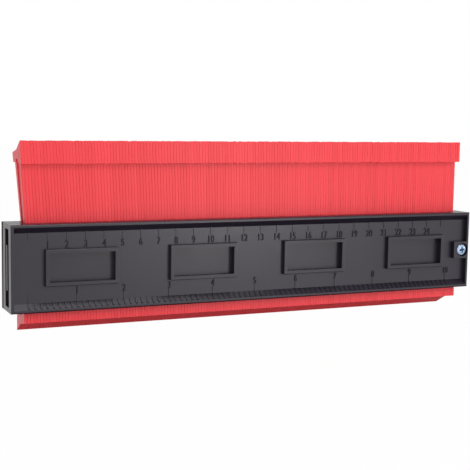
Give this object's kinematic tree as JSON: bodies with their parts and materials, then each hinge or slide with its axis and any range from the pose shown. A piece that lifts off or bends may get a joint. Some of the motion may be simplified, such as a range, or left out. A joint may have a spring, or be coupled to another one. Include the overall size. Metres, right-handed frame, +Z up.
{
  "type": "contour gauge",
  "caption": "Contour gauge with sliding red plastic teeth clamped between two black moulded covers with a ruler face, held by pan head screws.",
  "frame": {"origin": "under the middle of the gauge, centre of its length and depth, level with the lower tips of the teeth", "axes": "+X along the scale, from its zero to its high end; -Y out of the front face with the scale; +Z up, the way the teeth slide"},
  "size_m": [0.278, 0.022, 0.0994],
  "materials": {
    "black_plastic": "finely textured moulded plastic, satin",
    "red_plastic": "smooth moulded plastic, semi-gloss",
    "zinc_plated_steel": "bright zinc plate with a blue tint",
    "felt": "pressed grey felt"
  },
  "bodies": {
    "housing": {"front_cover": "black_plastic", "rear_cover": "black_plastic", "front_screw": "zinc_plated_steel", "rear_screw": "zinc_plated_steel", "front_friction_strip": "felt", "rear_friction_strip": "felt"},
    "teeth_01": {"tooth_group_01": "red_plastic"},
    "teeth_02": {"tooth_group_02": "red_plastic"},
    "teeth_03": {"tooth_group_03": "red_plastic"},
    "teeth_04": {"tooth_group_04": "red_plastic"},
    "teeth_05": {"tooth_group_05": "red_plastic"},
    "teeth_06": {"tooth_group_06": "red_plastic"},
    "teeth_07": {"tooth_group_07": "red_plastic"},
    "teeth_08": {"tooth_group_08": "red_plastic"},
    "teeth_09": {"tooth_group_09": "red_plastic"},
    "teeth_10": {"tooth_group_10": "red_plastic"},
    "teeth_11": {"tooth_group_11": "red_plastic"},
    "teeth_12": {"tooth_group_12": "red_plastic"},
    "teeth_13": {"tooth_group_13": "red_plastic"},
    "teeth_14": {"tooth_group_14": "red_plastic"},
    "teeth_15": {"tooth_group_15": "red_plastic"},
    "teeth_16": {"tooth_group_16": "red_plastic"},
    "teeth_17": {"tooth_group_17": "red_plastic"},
    "teeth_18": {"tooth_group_18": "red_plastic"},
    "teeth_19": {"tooth_group_19": "red_plastic"},
    "teeth_20": {"tooth_group_20": "red_plastic"},
    "teeth_21": {"tooth_group_21": "red_plastic"},
    "teeth_22": {"tooth_group_22": "red_plastic"},
    "teeth_23": {"tooth_group_23": "red_plastic"},
    "teeth_24": {"tooth_group_24": "red_plastic"},
    "teeth_25": {"tooth_group_25": "red_plastic"},
    "teeth_26": {"tooth_group_26": "red_plastic"},
    "teeth_27": {"tooth_group_27": "red_plastic"},
    "teeth_28": {"tooth_group_28": "red_plastic"},
    "teeth_29": {"tooth_group_29": "red_plastic"},
    "teeth_30": {"tooth_group_30": "red_plastic"},
    "teeth_31": {"tooth_group_31": "red_plastic"},
    "teeth_32": {"tooth_group_32": "red_plastic"},
    "teeth_33": {"tooth_group_33": "red_plastic"},
    "teeth_34": {"tooth_group_34": "red_plastic"},
    "teeth_35": {"tooth_group_35": "red_plastic"},
    "teeth_36": {"tooth_group_36": "red_plastic"},
    "teeth_37": {"tooth_group_37": "red_plastic"},
    "teeth_38": {"tooth_group_38": "red_plastic"},
    "teeth_39": {"tooth_group_39": "red_plastic"},
    "teeth_40": {"tooth_group_40": "red_plastic"}
  },
  "joints": [
    {"name": "slide_01", "type": "slide", "parent": "housing", "child": "teeth_01", "axis": [0, 0, 1], "range_m": [-0.0296, 0]},
    {"name": "slide_02", "type": "slide", "parent": "housing", "child": "teeth_02", "axis": [0, 0, 1], "range_m": [-0.0296, 0]},
    {"name": "slide_03", "type": "slide", "parent": "housing", "child": "teeth_03", "axis": [0, 0, 1], "range_m": [-0.0296, 0]},
    {"name": "slide_04", "type": "slide", "parent": "housing", "child": "teeth_04", "axis": [0, 0, 1], "range_m": [-0.0296, 0]},
    {"name": "slide_05", "type": "slide", "parent": "housing", "child": "teeth_05", "axis": [0, 0, 1], "range_m": [-0.0296, 0]},
    {"name": "slide_06", "type": "slide", "parent": "housing", "child": "teeth_06", "axis": [0, 0, 1], "range_m": [-0.0296, 0]},
    {"name": "slide_07", "type": "slide", "parent": "housing", "child": "teeth_07", "axis": [0, 0, 1], "range_m": [-0.0296, 0]},
    {"name": "slide_08", "type": "slide", "parent": "housing", "child": "teeth_08", "axis": [0, 0, 1], "range_m": [-0.0296, 0]},
    {"name": "slide_09", "type": "slide", "parent": "housing", "child": "teeth_09", "axis": [0, 0, 1], "range_m": [-0.0296, 0]},
    {"name": "slide_10", "type": "slide", "parent": "housing", "child": "teeth_10", "axis": [0, 0, 1], "range_m": [-0.0296, 0]},
    {"name": "slide_11", "type": "slide", "parent": "housing", "child": "teeth_11", "axis": [0, 0, 1], "range_m": [-0.0296, 0]},
    {"name": "slide_12", "type": "slide", "parent": "housing", "child": "teeth_12", "axis": [0, 0, 1], "range_m": [-0.0296, 0]},
    {"name": "slide_13", "type": "slide", "parent": "housing", "child": "teeth_13", "axis": [0, 0, 1], "range_m": [-0.0296, 0]},
    {"name": "slide_14", "type": "slide", "parent": "housing", "child": "teeth_14", "axis": [0, 0, 1], "range_m": [-0.0296, 0]},
    {"name": "slide_15", "type": "slide", "parent": "housing", "child": "teeth_15", "axis": [0, 0, 1], "range_m": [-0.0296, 0]},
    {"name": "slide_16", "type": "slide", "parent": "housing", "child": "teeth_16", "axis": [0, 0, 1], "range_m": [-0.0296, 0]},
    {"name": "slide_17", "type": "slide", "parent": "housing", "child": "teeth_17", "axis": [0, 0, 1], "range_m": [-0.0296, 0]},
    {"name": "slide_18", "type": "slide", "parent": "housing", "child": "teeth_18", "axis": [0, 0, 1], "range_m": [-0.0296, 0]},
    {"name": "slide_19", "type": "slide", "parent": "housing", "child": "teeth_19", "axis": [0, 0, 1], "range_m": [-0.0296, 0]},
    {"name": "slide_20", "type": "slide", "parent": "housing", "child": "teeth_20", "axis": [0, 0, 1], "range_m": [-0.0296, 0]},
    {"name": "slide_21", "type": "slide", "parent": "housing", "child": "teeth_21", "axis": [0, 0, 1], "range_m": [-0.0296, 0]},
    {"name": "slide_22", "type": "slide", "parent": "housing", "child": "teeth_22", "axis": [0, 0, 1], "range_m": [-0.0296, 0]},
    {"name": "slide_23", "type": "slide", "parent": "housing", "child": "teeth_23", "axis": [0, 0, 1], "range_m": [-0.0296, 0]},
    {"name": "slide_24", "type": "slide", "parent": "housing", "child": "teeth_24", "axis": [0, 0, 1], "range_m": [-0.0296, 0]},
    {"name": "slide_25", "type": "slide", "parent": "housing", "child": "teeth_25", "axis": [0, 0, 1], "range_m": [-0.0296, 0]},
    {"name": "slide_26", "type": "slide", "parent": "housing", "child": "teeth_26", "axis": [0, 0, 1], "range_m": [-0.0296, 0]},
    {"name": "slide_27", "type": "slide", "parent": "housing", "child": "teeth_27", "axis": [0, 0, 1], "range_m": [-0.0296, 0]},
    {"name": "slide_28", "type": "slide", "parent": "housing", "child": "teeth_28", "axis": [0, 0, 1], "range_m": [-0.0296, 0]},
    {"name": "slide_29", "type": "slide", "parent": "housing", "child": "teeth_29", "axis": [0, 0, 1], "range_m": [-0.0296, 0]},
    {"name": "slide_30", "type": "slide", "parent": "housing", "child": "teeth_30", "axis": [0, 0, 1], "range_m": [-0.0296, 0]},
    {"name": "slide_31", "type": "slide", "parent": "housing", "child": "teeth_31", "axis": [0, 0, 1], "range_m": [-0.0296, 0]},
    {"name": "slide_32", "type": "slide", "parent": "housing", "child": "teeth_32", "axis": [0, 0, 1], "range_m": [-0.0296, 0]},
    {"name": "slide_33", "type": "slide", "parent": "housing", "child": "teeth_33", "axis": [0, 0, 1], "range_m": [-0.0296, 0]},
    {"name": "slide_34", "type": "slide", "parent": "housing", "child": "teeth_34", "axis": [0, 0, 1], "range_m": [-0.0296, 0]},
    {"name": "slide_35", "type": "slide", "parent": "housing", "child": "teeth_35", "axis": [0, 0, 1], "range_m": [-0.0296, 0]},
    {"name": "slide_36", "type": "slide", "parent": "housing", "child": "teeth_36", "axis": [0, 0, 1], "range_m": [-0.0296, 0]},
    {"name": "slide_37", "type": "slide", "parent": "housing", "child": "teeth_37", "axis": [0, 0, 1], "range_m": [-0.0296, 0]},
    {"name": "slide_38", "type": "slide", "parent": "housing", "child": "teeth_38", "axis": [0, 0, 1], "range_m": [-0.0296, 0]},
    {"name": "slide_39", "type": "slide", "parent": "housing", "child": "teeth_39", "axis": [0, 0, 1], "range_m": [-0.0296, 0]},
    {"name": "slide_40", "type": "slide", "parent": "housing", "child": "teeth_40", "axis": [0, 0, 1], "range_m": [-0.0296, 0]}
  ]
}
